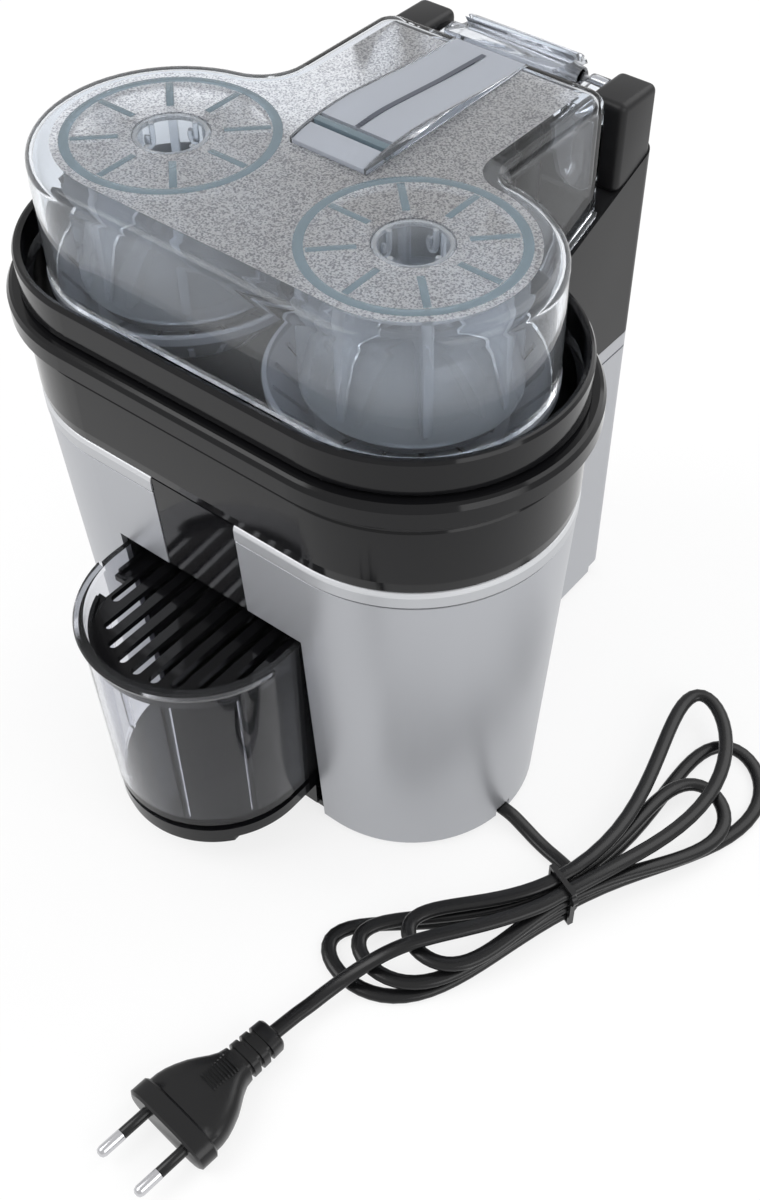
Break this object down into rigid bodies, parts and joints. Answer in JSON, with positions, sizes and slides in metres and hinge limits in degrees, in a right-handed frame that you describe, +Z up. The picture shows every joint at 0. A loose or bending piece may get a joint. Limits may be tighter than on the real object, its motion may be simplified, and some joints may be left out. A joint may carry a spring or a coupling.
{
  "type": "electric twin citrus juicer",
  "caption": "Electric citrus juicer with two reaming cones under a hinged clear pressing lid, a front juice cup with drip grate and a flat mains lead.",
  "frame": {"origin": "on the table under the middle of the machine's box, without its mains lead", "axes": "+Z up, front with the juice cup towards -Y, +X to the right"},
  "size_m": [0.2713, 0.3189, 0.2287],
  "materials": {
    "black_gloss": "glossy black moulded plastic",
    "black_satin": "satin black moulded plastic",
    "silver_paint": "fine silver-grey metallic paint, satin",
    "clear_plastic": "clear plastic, frosted grain in the middle of the top",
    "clear_press": "clear bluish plastic, glossy",
    "clear_cup": "clear slightly grey plastic, glossy",
    "smoke_plastic": "translucent grey plastic",
    "grey_plastic": "smooth grey plastic",
    "rubber": "soft black rubber",
    "zinc": "plated steel",
    "steel": "bright steel",
    "brass": "sintered bronze",
    "nylon": "natural nylon",
    "cord_rubber": "black flexible PVC, slightly glossy"
  },
  "bodies": {
    "machine": {"cup_bay": "black_gloss", "cup_stand": "black_gloss", "front_strip": "black_gloss", "motor_housing": "black_gloss", "juice_tray": "black_gloss", "juice_spout": "black_gloss", "base_plate": "black_satin", "inner_frame": "black_satin", "tower_cover": "black_satin", "left_hinge_post": "black_satin", "right_hinge_post": "black_satin", "motor_end_cap": "black_satin", "micro_switch": "black_satin", "left_panel": "silver_paint", "right_panel": "silver_paint", "tower_shell": "silver_paint", "left_strainer": "smoke_plastic", "right_strainer": "smoke_plastic", "rubber_feet": "rubber", "base_screws": "zinc", "plunger_spring": "zinc", "gear_plate": "zinc", "motor_can": "zinc", "hinge_rod": "steel", "plug_pins": "steel", "shaft_bushes": "brass", "cord_grommet": "cord_rubber", "cord_lead": "cord_rubber", "cord_hank": "cord_rubber", "cord_tail": "cord_rubber", "plug_body": "cord_rubber", "hank_tie": "cord_rubber"},
    "lid_body": {"lid": "clear_plastic", "left_press_cup": "clear_press", "right_press_cup": "clear_press", "left_press_fins": "clear_press", "right_press_fins": "clear_press"},
    "right_cone_body": {"right_reamer": "grey_plastic", "right_drive_shaft": "steel", "right_gear": "nylon"},
    "left_cone_body": {"left_reamer": "grey_plastic", "left_drive_shaft": "steel", "left_gear": "nylon"},
    "pinion_body": {"motor_pinion": "nylon"},
    "plunger_body": {"start_plunger": "black_satin"},
    "cup_body": {"juice_cup": "clear_cup", "drip_grate": "black_gloss"}
  },
  "joints": [
    {"name": "lid_hinge", "type": "hinge", "parent": "machine", "child": "lid_body", "pos_m": [0, 0.10575, 0.2153], "axis": [-1, 0, 0], "range_deg": [0, 95]},
    {"name": "right_cone_spin", "type": "hinge", "parent": "machine", "child": "right_cone_body", "pos_m": [0.0455, -0.01525, 0.15], "axis": [0, 0, 1], "continuous": true},
    {"name": "left_cone_spin", "type": "hinge", "parent": "machine", "child": "left_cone_body", "pos_m": [-0.0455, -0.01525, 0.15], "axis": [0, 0, 1], "continuous": true},
    {"name": "pinion_spin", "type": "hinge", "parent": "machine", "child": "pinion_body", "pos_m": [0, 0.01075, 0.15], "axis": [0, 0, 1], "continuous": true},
    {"name": "start_press", "type": "slide", "parent": "machine", "child": "plunger_body", "axis": [0, 0, -1], "range_m": [0, 0.003], "stiffness_N_per_m": 150, "springref_m": -0.004, "deforming": ["plunger_spring"]},
    {"name": "cup_slide", "type": "slide", "parent": "machine", "child": "cup_body", "axis": [0, -1, 0], "range_m": [0, 0.11]}
  ],
  "couplings": [
    {"joint": "left_cone_spin", "follows": "right_cone_spin", "ratio": 1},
    {"joint": "pinion_spin", "follows": "right_cone_spin", "ratio": -4}
  ]
}
